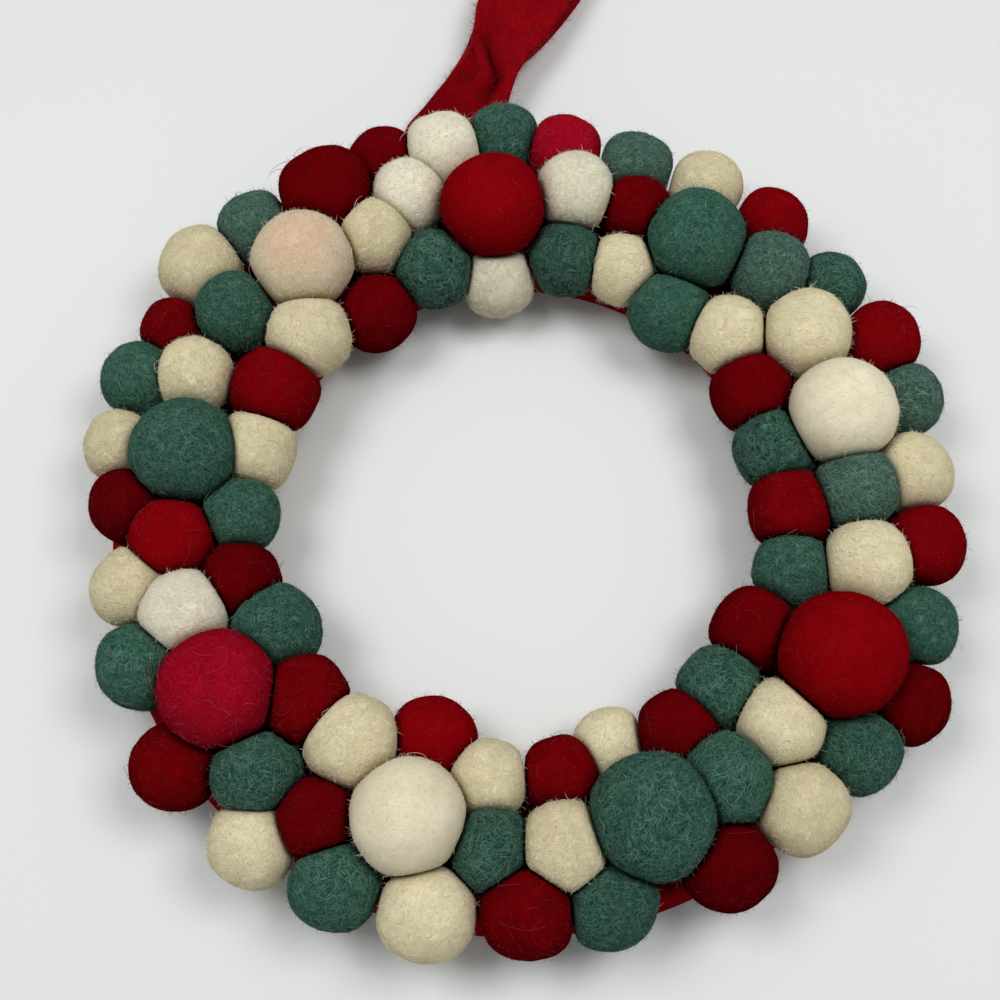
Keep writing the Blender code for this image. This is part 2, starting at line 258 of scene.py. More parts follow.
# Lower run of the strip. Columns: distance from the start, width, and how far its middle lies to the
# right of the upper run's (mm)
Lower = namedtuple("Lower", "along width sideways")
LOWER_RUN = tuple(Lower(*row) for row in (
    (0, 34, 0),
    (31, 31, 0),
    (45, 25, -2),
    (58, 20.5, -3.5),
    (70, 20.5, -4.5),
    (81, 26, -3),
    (95, 31, -1.5),
    (105, 33, -0.6),
    (112, 34, 0),
))

# Loose fibres on the strip: how many on its faces and its cut edges, their length and thickness (mm)
FACE_FIBRES = 900
EDGE_FIBRES = 1500
LOOP_FIBRE_LENGTH = (0.5, 2.2)
LOOP_FIBRE_THICKNESS = 0.08
LOOP_FIBRE_STEPS = 4
LOOP_FIBRE_SPREAD = 0.6  # how widely they splay
LOOP_FIBRE_DRIFT = 0.5  # and bend
LOOP_FIBRE_ROOT = 0.48  # of the strip's thickness, from its middle surface
FIRST_FUZZY_ROW = 26  # the strip's rows before it are under the balls
ROWS_WITHOUT_FUZZ = 4  # at the other end

# Columns: colours of the wool's depth, body, loose fibres and the tint where balls touch, which on the
# craft felt is its painted shade; how much the matted fibres show, how dark the painted shade in the pits
# is, how far the mat's flow bends (mm), how strong the relief and the sheen are; then loose fibres a
# ball: straight spikes of fuzz, curved fuzz, fibres lying flat, and long stray hairs
Wool = namedtuple("Wool", "deep body fibre bleed show pits swirl relief sheen spikes curved lying strays")
WOOLS = {
    "cream": Wool("b2a174", "f0e4ba", "fcf6e0", "dcb49a", 0.4, 0.45, 6, 0.6, 0.1, 700, 80, 150, 2),
    "smooth_cream": Wool("b8a982", "f1e7c8", "fcf6e6", "dcb49a", 0.25, 0.25, 6, 0.4, 0.1, 700, 80, 90, 2),
    "oatmeal": Wool("b4a788", "f1ebcf", "fcf8ea", "dab49c", 0.4, 0.4, 6, 0.6, 0.1, 700, 80, 150, 3),
    "white": Wool("b6a98a", "e9e2ca", "fcf8ec", "dca48e", 0.4, 0.35, 6, 0.55, 0.1, 700, 80, 130, 3),
    "blush": Wool("ad976e", "eedfc2", "f8ecd2", "dcaa86", 0.4, 0.4, 5, 0.6, 0.1, 700, 70, 110, 2),
    "teal": Wool("081c15", "255442", "84ae9b", "34423a", 0.42, 0.6, 3, 0.9, 0.08, 740, 110, 220, 3),
    "grey_teal": Wool("11221b", "385f4e", "98b8a9", "3c4a42", 0.44, 0.6, 3, 0.9, 0.08, 740, 110, 240, 3),
    "red": Wool("380002", "860108", "b0343c", "780208", 0.08, 0.1, 3, 0.3, 0.0, 520, 70, 30, 3),
    "dark_red": Wool("2a0002", "700106", "98282f", "580106", 0.08, 0.1, 3, 0.3, 0.0, 520, 70, 30, 3),
    "crimson": Wool("48000a", "9d021b", "d05466", "880114", 0.08, 0.1, 3, 0.3, 0.0, 520, 70, 50, 5),
}
# The craft felt. Its tint where balls touch is the colour of its painted shade
FELT = Wool("4a0004", "9c010e", "c04450", "240003", 0.12, 0.25, 3, 0.5, 0.0, 0, 0, 0, 0)

# How the balls that stand out differ from the rest of their wool, from -1, darkest, to 1, brightest
SHADES = {
    "outer_01": 1.0, "outer_02": 0.3, "outer_06": 0.2, "outer_07": -0.3, "outer_10": 0.5,
    "outer_11": -0.3, "outer_12": -0.5, "outer_13": -0.6, "outer_14": -0.6, "outer_15": -0.5,
    "outer_16": -0.9, "outer_17": 0.5, "outer_20": -0.7, "outer_21": 0.5, "outer_22": -0.6,
    "outer_23": -0.6, "outer_24": -0.9, "outer_25": 0.6, "outer_26": -0.9, "outer_27": -0.7,
    "outer_28": 0.3, "outer_31": 1.2,
    "middle_03": 1.0, "middle_04": 0.2, "middle_06": 1.0, "middle_07": 0.3, "middle_09": 0.9,
    "middle_13": -0.6, "middle_14": -0.6, "middle_15": 0.6, "middle_18": 0.5, "middle_20": 0.9,
    "middle_25": -0.6, "middle_26": 1.0, "middle_27": 1.0,
    "inner_01": -0.6, "inner_03": 0.9, "inner_05": 0.3, "inner_06": -0.7, "inner_12": 0.8,
    "inner_13": -0.4, "inner_15": 0.9, "inner_17": -0.5, "inner_19": -0.5, "inner_21": -0.4,
    "inner_25": -0.7, "inner_26": -0.7,
}
OTHER_SHADES = (-0.4, 0.4)  # least and most for the rest

# Colour over a ball, with painted shade low on its sides and in its crevices. A reach is where a tint
# starts and where it is full: for bleed by the cosine to a red neighbour, for blush by the cosine to
# straight up, and for crevices by pressed_in
BLEED = 0.35  # how much red wool tints a ball where they touch
BLEED_REACH = (0.6, 1.0)
BLUSH = 0.5  # how much the blush ball is tinted on its top
BLUSH_REACH = (0.5, 1.0)
SIDE_SHADE = 1.3  # how much painted shade deepens the wool's colour low on a ball's sides
SIDE_REACH = (-0.1, 0.85)  # cosine to straight up: where that is full and where it is gone
CREVICE_SHADE = 0.8  # how much painted shade deepens it where a neighbour or the ring presses on the ball
CREVICE_REACH = (0.85, 1.05)
TONE_DEPTH = 0.28  # how far a tone of 1 moves the colour between the wool's depth and its body

# Kinds of loose fibre. Columns: how many points it has along it; least and most of its run along the
# surface (mm), of how far it turns to one side on its way (radians), and of the rise of its tip and the
# hump in its middle (mm); and its thickness (mm). Wool fibres are about 0.03 mm thick: these are drawn
# about four times as thick to show
Growth = namedtuple("Growth", "steps run turn rise hump thickness")
GROWTHS = {
    "curved": Growth(4, (0.3, 2.2), (-2.5, 2.5), (0.6, 2.4), (0, 0.3), 0.11),
    "lying": Growth(4, (1.5, 6), (-1.8, 1.8), (0, 0.25), (0.05, 0.25), 0.13),
    "strays": Growth(9, (3, 12), (-4, 4), (0.5, 4), (0.2, 2), 0.13),
}

# Single hairs that catch the eye. Columns: ball, its root's place on the ball (of the radius, to the
# right and up as seen from above), its heading there (degrees clockwise from the wreath's top), run
# (mm), turn (radians), rise and hump (mm)
Hair = namedtuple("Hair", "ball right up heading run turn rise hump")
HAIRS = tuple(Hair(*row) for row in (
    ("outer_01", -0.33, 0.0, 0, 7.5, 6.3, 0.6, 0.8),
    ("middle_18", -0.85, -0.1, 20, 22, 1.4, 0.8, 0.6),
    ("middle_18", -0.3, 0.5, 150, 9, 1.5, 0.3, 0.5),
    ("middle_18", 0.0, 0.1, 95, 14, 2.6, 0.3, 0.3),
    ("middle_18", -0.9, -0.2, 350, 12, -0.9, 4, 1),
    ("inner_09", -0.7, -0.2, 80, 12, 2.4, 0.5, 1.5),
    ("inner_09", -0.1, -0.3, 40, 13, 2.8, 0.5, 1.5),
    ("inner_08", -0.15, 0.4, 75, 9, 0.7, 0.3, 0.5),
    ("inner_08", 0.25, 0.5, 215, 10, -0.6, 0.3, 0.5),
    ("inner_10", 0.45, 0.1, 195, 9, 1.9, 0.3, 0.4),
    ("outer_32", 0.15, -0.2, 40, 7, -5.2, 0.4, 0.6),
    ("middle_20", -0.3, 0.75, 190, 13, -0.9, 0.3, 0.4),
    ("outer_14", -0.1, 0.6, 105, 24, 1.9, 0.5, 0.8),
    ("outer_16", -0.6, -0.2, 110, 24, 0.7, 1, 1),
    ("middle_27", 0.1, -0.75, 50, 9, 2.8, 0.4, 0.8),
    ("inner_11", -0.75, -0.1, 10, 9, 1.0, 0.5, 0.5),
    ("outer_29", -0.7, 0.5, 270, 8, 1.0, 4, 0.5),
    ("outer_29", -0.8, 0.2, 300, 7, 1.4, 4, 0.5),
    ("outer_06", 0.1, 0.3, 60, 12, 0.7, 0.4, 0.5),
))
HAIR_STEPS = 16
HAIR_THICKNESS = 0.16  # mm

# Straight fuzz (mm), and what all the loose fibres share
SPIKE_LENGTH = (0.5, 1.7)
SPIKE_THICKNESS = 0.13
SPIKE_LEAN = (0.55, 0.75)  # shares of straight out and of any way in a spike's direction
FREE_SURFACE = 0.93  # fibres grow where pressed_in is less than this
ROOT_DEPTH = 0.05  # how deep a fibre starts in the wool (mm)
RISE_POWER = 1.3  # of the way along: how a fibre climbs to its tip
FIBRE_WIDTHS = (0.7, 1.2)  # of its kind's thickness
TAPER = (0.25, 0.93)  # the part of a sine's half wave that a fibre's width follows, root to tip
TAPER_POWER = 0.7
FIRST_SEED = 1000


def linear(hex_colour):
    """Linear red, green, blue and alpha of an sRGB hex colour."""
    parts = np.array([int(hex_colour[at:at + 2], 16) for at in (0, 2, 4)]) / 255
    values = np.where(parts <= 0.04045, parts / 12.92, ((parts + 0.055) / 1.055) ** 2.4)
    return (*map(float, values), 1.0)


def make_piece(name, points, faces, material, attributes=None):
    """A smooth mesh object at the origin. faces is a list of arrays, each of rows of point numbers."""
    mesh = bpy.data.meshes.new(name)
    points = np.asarray(points, dtype=np.float32)
    mesh.vertices.add(len(points))
    mesh.vertices.foreach_set("co", points.ravel())
    corners = np.concatenate([np.asarray(rows).ravel() for rows in faces]).astype(np.int32)
    sizes = np.concatenate([np.full(len(rows), np.asarray(rows).shape[1]) for rows in faces])
    mesh.loops.add(len(corners))
    mesh.loops.foreach_set("vertex_index", corners)
    mesh.polygons.add(len(sizes))
    starts = np.concatenate([[0], np.cumsum(sizes)[:-1]]).astype(np.int32)
    mesh.polygons.foreach_set("loop_start", starts)
    mesh.update(calc_edges=True)
    mesh.shade_smooth()
    for key, values in (attributes or {}).items():
        values = np.asarray(values, dtype=np.float32)
        kind, field = ("FLOAT", "value") if values.ndim == 1 else ("FLOAT_VECTOR", "vector")
        layer = mesh.attributes.new(key, kind, "POINT")
        layer.data.foreach_set(field, values.ravel())
    mesh.materials.append(material)
    piece = bpy.data.objects.new(name, mesh)
    bpy.context.collection.objects.link(piece)
    return piece


def grid_faces(rows, columns, closed_columns, closed_rows=False):
    """Quads between the points of a grid, numbered row by row."""
    row = np.arange(rows if closed_rows else rows - 1)[:, None]
    column = np.arange(columns if closed_columns else columns - 1)[None, :]
    row, column = np.broadcast_arrays(row, column)
    next_row, next_column = (row + 1) % rows, (column + 1) % columns
    corners = (
        row * columns + column,
        row * columns + next_column,
        next_row * columns + next_column,
        next_row * columns + column,
    )
    return np.stack(corners, -1).reshape(-1, 4)


# Where the balls lie


def base_section(steps):
    """Points (radius, height) along the ring's rounded top, from its inner to its outer edge.

    A superellipse: the level and upright parts of a half turn, each raised to 2 / roundness.
    """
    turn = np.linspace(pi, 0, steps + 1)
    across = np.sign(np.cos(turn)) * np.abs(np.cos(turn)) ** (2 / BASE_ROUNDNESS)
    up = np.abs(np.sin(turn)) ** (2 / BASE_ROUNDNESS)
    return BASE_MIDDLE + BASE_HALF_WIDTH * across, BASE_HEIGHT * up


def seat(reach, radius):
    """Height of a resting ball's centre, and the section point (radius, height) that it rests on.

    Over each point of the section the centre can be no lower than the point's height plus
    the square root of (radius + gap) squared minus the level distance squared.
    """
    section_radius, section_height = base_section(SEAT_STEPS)
    room = (radius + GAP) ** 2 - (reach - section_radius) ** 2
    heights = np.where(room > 0, section_height + np.sqrt(np.maximum(room, 0)), 0)
    touch = int(np.argmax(heights))
    return float(heights[touch]), (section_radius[touch], section_height[touch])


Placed = namedtuple("Placed", "name row centre radius wool outward seat_way")
Flats = namedtuple("Flats", "ways distances reds")


def placed_balls():
    """Every ball's name, row, centre, radius, wool, way out from the centre and way to its seat."""
    balls = []
    for row, entries in ROWS.items():
        for number, ball in enumerate(entries, 1):
            reach, radius = ball.reach * MM, ball.width * MM / 2
            height, (touch_radius, touch_height) = seat(reach, radius)
            turn = radians(ball.bearing)
            outward = np.array([sin(turn), cos(turn), 0.0])
            centre = RING_CENTRE + outward * reach + np.array([0, 0, height + ball.lift * MM])
            seat_way = outward * (touch_radius - reach) + np.array([0, 0, touch_height - height])
            name = f"{row}_{number:02d}"
            balls.append(Placed(name, row, centre, radius, ball.wool, outward, seat_way))
    return balls


def contact_flats(ball, balls):
    """Unit directions and distances of the flats pressed into a ball, and which come from red wool.

    A flat lies in the plane of the circle where the two spheres would cross, half a gap nearer.
    """
    ways, distances, reds = [], [], []
    for other in balls:
        apart = other.centre - ball.centre
        length = np.linalg.norm(apart)
        if other is ball or length >= NEAR_TOUCH * (ball.radius + other.radius):
            continue
        plane = (length**2 + ball.radius**2 - other.radius**2) / (2 * length)
        ways.append(apart / length)
        distances.append(plane - GAP / 2)
        reds.append(other.wool in ("red", "dark_red", "crimson"))
    seat_distance = np.linalg.norm(ball.seat_way)
    ways.append(ball.seat_way / seat_distance)
    distances.append(min(seat_distance, ball.radius + GAP) - GAP / 2)
    reds.append(False)
    return Flats(np.array(ways), np.array(distances), np.array(reds))


def smooth_step(values, low, high):
    """From 0 at low to 1 at high, level at both ends."""
    part = np.clip((values - low) / (high - low), 0, 1)
    return part * part * (3 - 2 * part)


def ball_shape(ball, flats, rng):
    """A function from unit directions to the distance of the ball's surface in each.

    The free radius is the ball's own, times one plus a bulge beside each flat, times one plus a
    few low waves for its uneven felting. The surface is a soft minimum of that radius and of each
    flat's plane, where the plane's distance is its own over the cosine to its direction:
    (free ** -p + sum of (cosine / plane) ** p) ** (-1 / p).
    """
    windings = [rng.normal(size=(3, waves.count)) * waves.winding for waves in FELTING]
    phases = [rng.uniform(0, 2 * pi, waves.count) for waves in FELTING]
    bulge = LARGE_BULGE if ball.radius > LARGE_RADIUS else BALL_BULGE

    def reach_of(directions):
        facing = np.maximum(directions @ flats.ways.T, 0)
        crowd = 1 - np.prod(1 - smooth_step(facing, *BULGE_REACH), axis=-1)
        lumps = sum(
            waves.height * np.cos(directions @ winding + phase).sum(-1) / np.sqrt(waves.count)
            for waves, winding, phase in zip(FELTING, windings, phases)
        )
        free = ball.radius * (1 + bulge * crowd) * (1 + lumps)
        pressed = ((facing / flats.distances) ** CONTACT_SHARPNESS).sum(-1)
        return (free ** -CONTACT_SHARPNESS + pressed) ** (-1 / CONTACT_SHARPNESS)

    return reach_of


def pressed_in(directions, ball, flats):
    """Where the flats press a ball in: 1 or more on a flat, and less further from it.

    It is the largest of the cosines to the flats, each times the ball's radius over the flat's distance.
    """
    return (np.maximum(directions @ flats.ways.T, 0) * ball.radius / flats.distances).max(-1)


def ball_piece(ball, flats, reach_of, rng):
    """A grid of latitude and longitude round a level axis along the ring, with a point at each pole.

    The grid's seam runs along the ball's underside.
    """
    axis = np.array([ball.outward[1], -ball.outward[0], 0.0])
    up = np.array([0.0, 0.0, 1.0])
    latitude = np.linspace(0, pi, BALL_ROWS + 1)[1:-1, None]
    longitude = np.linspace(-pi, pi, BALL_COLUMNS, endpoint=False)[None, :]
    directions = (
        np.cos(latitude)[..., None] * axis
        + (np.sin(latitude) * np.cos(longitude))[..., None] * up
        + (np.sin(latitude) * np.sin(longitude))[..., None] * np.cross(axis, up)
    ).reshape(-1, 3)
    directions = np.concatenate([directions, [axis, -axis]])
    points = ball.centre + directions * reach_of(directions)[:, None]
    rows = BALL_ROWS - 1
    first_pole, last_pole = len(points) - 2, len(points) - 1
    around = np.arange(BALL_COLUMNS)
    after = (around + 1) % BALL_COLUMNS
    last = (rows - 1) * BALL_COLUMNS
    cap = np.stack([np.full(BALL_COLUMNS, first_pole), after, around], -1)
    end = np.stack([np.full(BALL_COLUMNS, last_pole), last + around, last + after], -1)
    body = grid_faces(rows, BALL_COLUMNS, True)
    red_ways = flats.ways[flats.reds]
    bleed = BLEED * np.clip(smooth_step(directions @ red_ways.T, *BLEED_REACH).sum(-1), 0, 1)
    if ball.wool == "blush":
        bleed = np.clip(bleed + BLUSH * smooth_step(directions[:, 2], *BLUSH_REACH), 0, 1)
    # Painted shade, low on the ball's sides and where a neighbour or the ring presses on it, taken off its
    # own tone
    shade = SIDE_SHADE * (1 - smooth_step(directions[:, 2], *SIDE_REACH))
    shade = shade + CREVICE_SHADE * smooth_step(pressed_in(directions, ball, flats), *CREVICE_REACH)
    tone_and_shade = SHADES.get(ball.name, rng.uniform(*OTHER_SHADES)) - shade
    # Coordinates for the mat's flow, in metres over the ball, and a value of its own for each ball
    grid_flow = np.stack([a.ravel() * ball.radius for a in np.broadcast_arrays(longitude, latitude)], -1)
    flow = np.concatenate([grid_flow, [(0, 0), (0, pi * ball.radius)]])
    flow = np.column_stack([flow, np.full(len(flow), rng.uniform(0, 1))])
    attributes = {"tone_and_shade": tone_and_shade, "bleed": bleed, "flow": flow}
    name = f"wool_ball_{ball.name}"
    return make_piece(name, points, [body, cap, end], WOOL_SURFACES[ball.wool], attributes)


# Loose fibres


def unit(vectors):
    """The vectors' directions, each of length 1."""
    return vectors / (np.linalg.norm(vectors, axis=-1, keepdims=True) + 1e-12)


def tubes(paths, widths, up_ways):
    """Thin three-sided tubes along paths, an array of (fibre, step, 3), tapering to both ends.

    At each step three points stand at a third of a turn round the path, at the step's half width.
    """
    count, steps = paths.shape[:2]
    along = unit(np.gradient(paths, axis=1))
    side = unit(np.cross(along, up_ways))
    over = np.cross(side, along)
    turn = np.arange(3) * 2 * pi / 3
    ring = np.cos(turn)[:, None] * side[:, :, None] + np.sin(turn)[:, None] * over[:, :, None]
    taper = np.sin(np.linspace(*TAPER, steps) * pi) ** TAPER_POWER
    half = (widths[:, None] * taper / 2)[..., None, None]
    points = (paths[:, :, None] + ring * half).reshape(-1, 3)
    one = grid_faces(steps, 3, True)
    first = np.arange(count)[:, None, None] * steps * 3
    sides = (one[None] + first).reshape(-1, 4)
    start = np.array([[0, 1, 2]]) + first[:, 0]
    end = np.array([[2, 1, 0]]) + (steps - 1) * 3 + first[:, 0]
    return points, [sides, np.concatenate([start, end])]


def spikes(starts, ways, lengths, width):
    """Short straight hairs: three-sided pyramids, each from its start along its way."""
    side = unit(np.cross(ways, np.roll(ways, 1, axis=-1)))
    over = np.cross(side, ways)
    turn = (np.arange(3) * 2 * pi / 3)[:, None]
    base = starts[:, None] + (np.cos(turn) * side[:, None] + np.sin(turn) * over[:, None]) * width / 2
    tips = starts + ways * lengths[:, None]
    points = np.concatenate([base, tips[:, None]], axis=1).reshape(-1, 3)
    one = np.array([(0, 1, 3), (1, 2, 3), (2, 0, 3), (2, 1, 0)])
    triangles = (one[None] + 4 * np.arange(len(starts))[:, None, None]).reshape(-1, 3)
    return points, [np.zeros((0, 4), dtype=int), triangles]


def free_directions(ball, flats, rng, count):
    """Up to count random unit directions in which nothing presses on the ball."""
    ways = unit(rng.normal(size=(count * 3, 3)))
    return ways[pressed_in(ways, ball, flats) < FREE_SURFACE][:count]


def grow(ball, reach_of, starts, ahead, run, turn, rise, hump, steps, widths):
    """Tubes that follow a ball's surface from unit directions starts, each headed along ahead.

    Along the surface a fibre is an arc of a circle, of length run and angle turn. Above the surface
    it climbs to its rise at the tip, over a hump in the middle that is a square law.
    """
    side = np.cross(starts, ahead)
    run, turn, rise, hump = (np.reshape(values, (-1, 1, 1)) for values in (run, turn, rise, hump))
    step = np.linspace(0, 1, steps)[None, :, None]
    size = run * MM / ball.radius / (turn + 1e-6)
    arc = ahead[:, None] * np.sin(turn * step) + side[:, None] * (1 - np.cos(turn * step))
    directions = unit(starts[:, None] + arc * size)
    above = (rise * step**RISE_POWER + hump * 4 * step * (1 - step) - ROOT_DEPTH) * MM
    paths = ball.centre + directions * (reach_of(directions)[..., None] + above)
    return tubes(paths, widths * MM, directions)


def surface_fibres(ball, flats, reach_of, rng, count, growth):
    """Fibres in random places and directions, where nothing presses on the ball."""
    starts = free_directions(ball, flats, rng, count)
    count = len(starts)
    ahead = unit(np.cross(starts, rng.normal(size=(count, 3))))
    pairs = (growth.run, growth.turn, growth.rise, growth.hump)
    sizes = [rng.uniform(*pair, count) for pair in pairs]
    widths = rng.uniform(*FIBRE_WIDTHS, count) * growth.thickness
    return grow(ball, reach_of, starts, ahead, *sizes, growth.steps, widths)


def placed_hair(ball, reach_of, hair):
    """One hair of the table, on its ball."""
    height = np.sqrt(1 - hair.right**2 - hair.up**2)
    start = np.array([[hair.right, hair.up, height]])
    heading = radians(hair.heading)
    level = np.array([[sin(heading), cos(heading), 0.0]])
    ahead = unit(level - (level * start).sum() * start)
    sizes = (hair.run, hair.turn, hair.rise, hair.hump)
    return grow(ball, reach_of, start, ahead, *sizes, HAIR_STEPS, np.array([HAIR_THICKNESS]))


def fuzz_spikes(ball, flats, reach_of, rng, count):
    """Straight fuzz that leans out of a ball's free surface."""
    starts = free_directions(ball, flats, rng, count)
    roots = ball.centre + starts * (reach_of(starts)[:, None] - ROOT_DEPTH * MM)
    outward, any_way = SPIKE_LEAN
    ways = unit(starts * outward + unit(rng.normal(size=starts.shape)) * any_way)
    lengths = rng.uniform(*SPIKE_LENGTH, len(starts)) * MM
    return spikes(roots, ways, lengths, SPIKE_THICKNESS * MM)


def merge(parts):
    """Several (points, [quads, triangles]) as one."""
    points, quads, triangles, first = [], [], [], 0
    for part_points, (part_quads, part_triangles) in parts:
        points.append(part_points)
        quads.append(part_quads + first)
        triangles.append(part_triangles + first)
        first += len(part_points)
    return np.concatenate(points), [np.concatenate(quads), np.concatenate(triangles)]


def add_balls():
    """All the balls, and one piece of loose fibres for each wool in each row."""
    balls = placed_balls()
    groups = {}
    for number, members in enumerate(FELTED_TOGETHER, 1):
        groups.update({member: f"felt_ball_group_{number:02d}" for member in members})
    fibres = {}
    for number, ball in enumerate(balls):
        rng = np.random.default_rng(FIRST_SEED + number)
        flats = contact_flats(ball, balls)
        reach_of = ball_shape(ball, flats, rng)
        piece = ball_piece(ball, flats, reach_of, rng)
        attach(piece, "root")
        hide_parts(groups.get(ball.name, f"felt_ball_{ball.name}"))
        parts = fibres.setdefault((ball.wool, ball.row), [])
        look = WOOLS[ball.wool]._asdict()
        for kind, growth in GROWTHS.items():
            parts.append(surface_fibres(ball, flats, reach_of, rng, look[kind], growth))
        parts.append(fuzz_spikes(ball, flats, reach_of, rng, look["spikes"]))
        parts.extend(placed_hair(ball, reach_of, hair) for hair in HAIRS if hair.ball == ball.name)
    for (wool, row), parts in fibres.items():
        points, faces = merge(parts)
        piece = make_piece(f"loose_fibres_{wool}_{row}", points, faces, WOOL_FIBRES[wool])
        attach(piece, "root")


# Materials


def add_node(tree, kind, inputs=None, **settings):
    """Adds one node. inputs maps a socket's name or number to a value or to another node's socket."""
    made = tree.nodes.new(kind)
    for key, value in settings.items():
        setattr(made, key, value)
    for key, value in (inputs or {}).items():
        if isinstance(value, bpy.types.NodeSocket):
            tree.links.new(value, made.inputs[key])
        else:
            made.inputs[key].default_value = value
    return made


def new_material(name):
    """An empty node material, and its tree."""
    made = bpy.data.materials.new(name)
    made.use_nodes = True
    made.node_tree.nodes.clear()
    return made, made.node_tree


# Turns (radians) and shifts of the sets of streaks in the felt
STREAKS = ((0.15, 0.0), (0.95, 7.0), (1.75, 13.0), (2.6, 19.0))


def felt_surface(name, wool):
    """Felted wool, and the pressed craft felt of the ring and the strip.

    To the eye it is quite matt, with matted fibres in every direction, pits between them, uneven dye,
    and a soft sheen from the finest fuzz, but not on red. Painted shade darkens the pits, a ball's lower
    sides and crevices, and the craft felt under the balls and in the strip's valley and dip. The fibres
    and pits lie in the piece's own flow coordinates, which run over its surface in metres.
    """
    made, tree = new_material(name)
    place = add_node(tree, "ShaderNodeTexCoord").outputs["Object"]
    flow = add_node(tree, "ShaderNodeAttribute", attribute_name="flow").outputs["Vector"]
    # Slow swirls bend the fibres' direction over about 5 mm
    swirl = add_node(tree, "ShaderNodeTexNoise", {"Vector": flow, "Scale": 1 / (5 * MM), "Detail": 1.0})
    pushed = add_node(tree, "ShaderNodeVectorMath", {
        0: swirl.outputs["Color"], 1: (0.5, 0.5, 0.5),
    }, operation="SUBTRACT")
    bent = add_node(tree, "ShaderNodeVectorMath", {
        0: pushed.outputs[0], 1: (wool.swirl * MM, wool.swirl * MM, 0), 2: flow,
    }, operation="MULTIPLY_ADD").outputs[0]
    # Sets of streaks, each noise stretched one way with only its peaks kept. A fibre is drawn 0.25 mm
    # across and 3.5 mm long: the real 0.03 mm is too fine to show
    fibres = None
    for turn, shift in STREAKS:
        stretched = add_node(tree, "ShaderNodeMapping", {
            "Vector": bent,
            "Rotation": (0, 0, turn),
            "Location": (shift, shift, shift),
            "Scale": (3.5 * MM, 0.25 * MM, 0.01),
        }, vector_type="TEXTURE")
        streak = add_node(tree, "ShaderNodeTexNoise", {
            "Vector": stretched.outputs[0], "Scale": 1.0, "Detail": 0.0,
        })
        peak = add_node(tree, "ShaderNodeMapRange", {
            "Value": streak.outputs[0], "From Min": 0.55, "From Max": 0.8,
        }).outputs[0]
        if fibres is None:
            fibres = peak
        else:
            fibres = add_node(tree, "ShaderNodeMath", {0: fibres, 1: peak}, operation="MAXIMUM").outputs[0]
    # Pits between the fibres, about 0.45 mm across and 2 mm long: a dip in the relief, with painted shade
    # in them
    pit_place = add_node(tree, "ShaderNodeMapping", {
        "Vector": bent, "Rotation": (0, 0, 0.5), "Scale": (2 * MM, 0.45 * MM, 0.01),
    }, vector_type="TEXTURE")
    pit_noise = add_node(tree, "ShaderNodeTexNoise", {
        "Vector": pit_place.outputs[0], "Scale": 1.0, "Detail": 1.0, "Roughness": 0.6,
    })
    pits = add_node(tree, "ShaderNodeMapRange", {
        "Value": pit_noise.outputs[0], "From Min": 0.57, "From Max": 0.75, "To Max": wool.pits,
    }).outputs[0]
    # Uneven dye over about 7 mm, a tone of its own for each ball, and the painted shade on a ball's lower
    # sides and in its crevices, which comes in with the tone
    uneven = add_node(tree, "ShaderNodeTexNoise", {"Vector": place, "Scale": 1 / (7 * MM), "Detail": 2.0})
    tone_and_shade = add_node(tree, "ShaderNodeAttribute", attribute_name="tone_and_shade").outputs["Fac"]
    patches = add_node(tree, "ShaderNodeMapRange", {
        "Value": uneven.outputs[0], "From Min": 0.25, "From Max": 0.75, "To Min": 0.48, "To Max": 0.76,
    }).outputs[0]
    dye_and_shade = add_node(tree, "ShaderNodeMath", {
        0: tone_and_shade, 1: TONE_DEPTH, 2: patches,
    }, operation="MULTIPLY_ADD", use_clamp=True).outputs[0]
    body = add_node(tree, "ShaderNodeMix", {
        0: dye_and_shade, 6: linear(wool.deep), 7: linear(wool.body),
    }, data_type="RGBA").outputs[2]
    shown = add_node(tree, "ShaderNodeMath", {0: fibres, 1: wool.show}, operation="MULTIPLY").outputs[0]
    matted = add_node(tree, "ShaderNodeMix", {
        0: shown, 6: body, 7: linear(wool.fibre),
    }, data_type="RGBA").outputs[2]
    # Painted shade in the pits: their colour goes toward the wool's depth
    pitted = add_node(tree, "ShaderNodeMix", {
        0: pits, 6: matted, 7: linear(wool.deep),
    }, data_type="RGBA").outputs[2]
    # Red fuzz tints a ball where a red one touches it. On the craft felt this is painted shade: in the
    # gaps under the balls, in the strip's valley and where the strip dips to the ring
    bleed = add_node(tree, "ShaderNodeAttribute", attribute_name="bleed").outputs["Fac"]
    colour = add_node(tree, "ShaderNodeMix", {
        0: bleed, 6: pitted, 7: linear(wool.bleed),
    }, data_type="RGBA").outputs[2]
    height = add_node(tree, "ShaderNodeMath", {0: pits, 1: -2.5, 2: fibres}, operation="MULTIPLY_ADD")
    bump = add_node(tree, "ShaderNodeBump", {
        "Strength": wool.relief, "Distance": 0.25 * MM, "Height": height.outputs[0],
    })
    shader = add_node(tree, "ShaderNodeBsdfPrincipled", {
        "Base Color": colour,
        "Roughness": 0.95,
        "IOR": 1.5,
        "Specular IOR Level": 0.0,
        "Sheen Weight": wool.sheen,
        "Sheen Roughness": 0.5,
        "Sheen Tint": linear(wool.fibre),
        "Normal": bump.outputs[0],
    })
    add_node(tree, "ShaderNodeOutputMaterial", {"Surface": shader.outputs[0]})
    return made


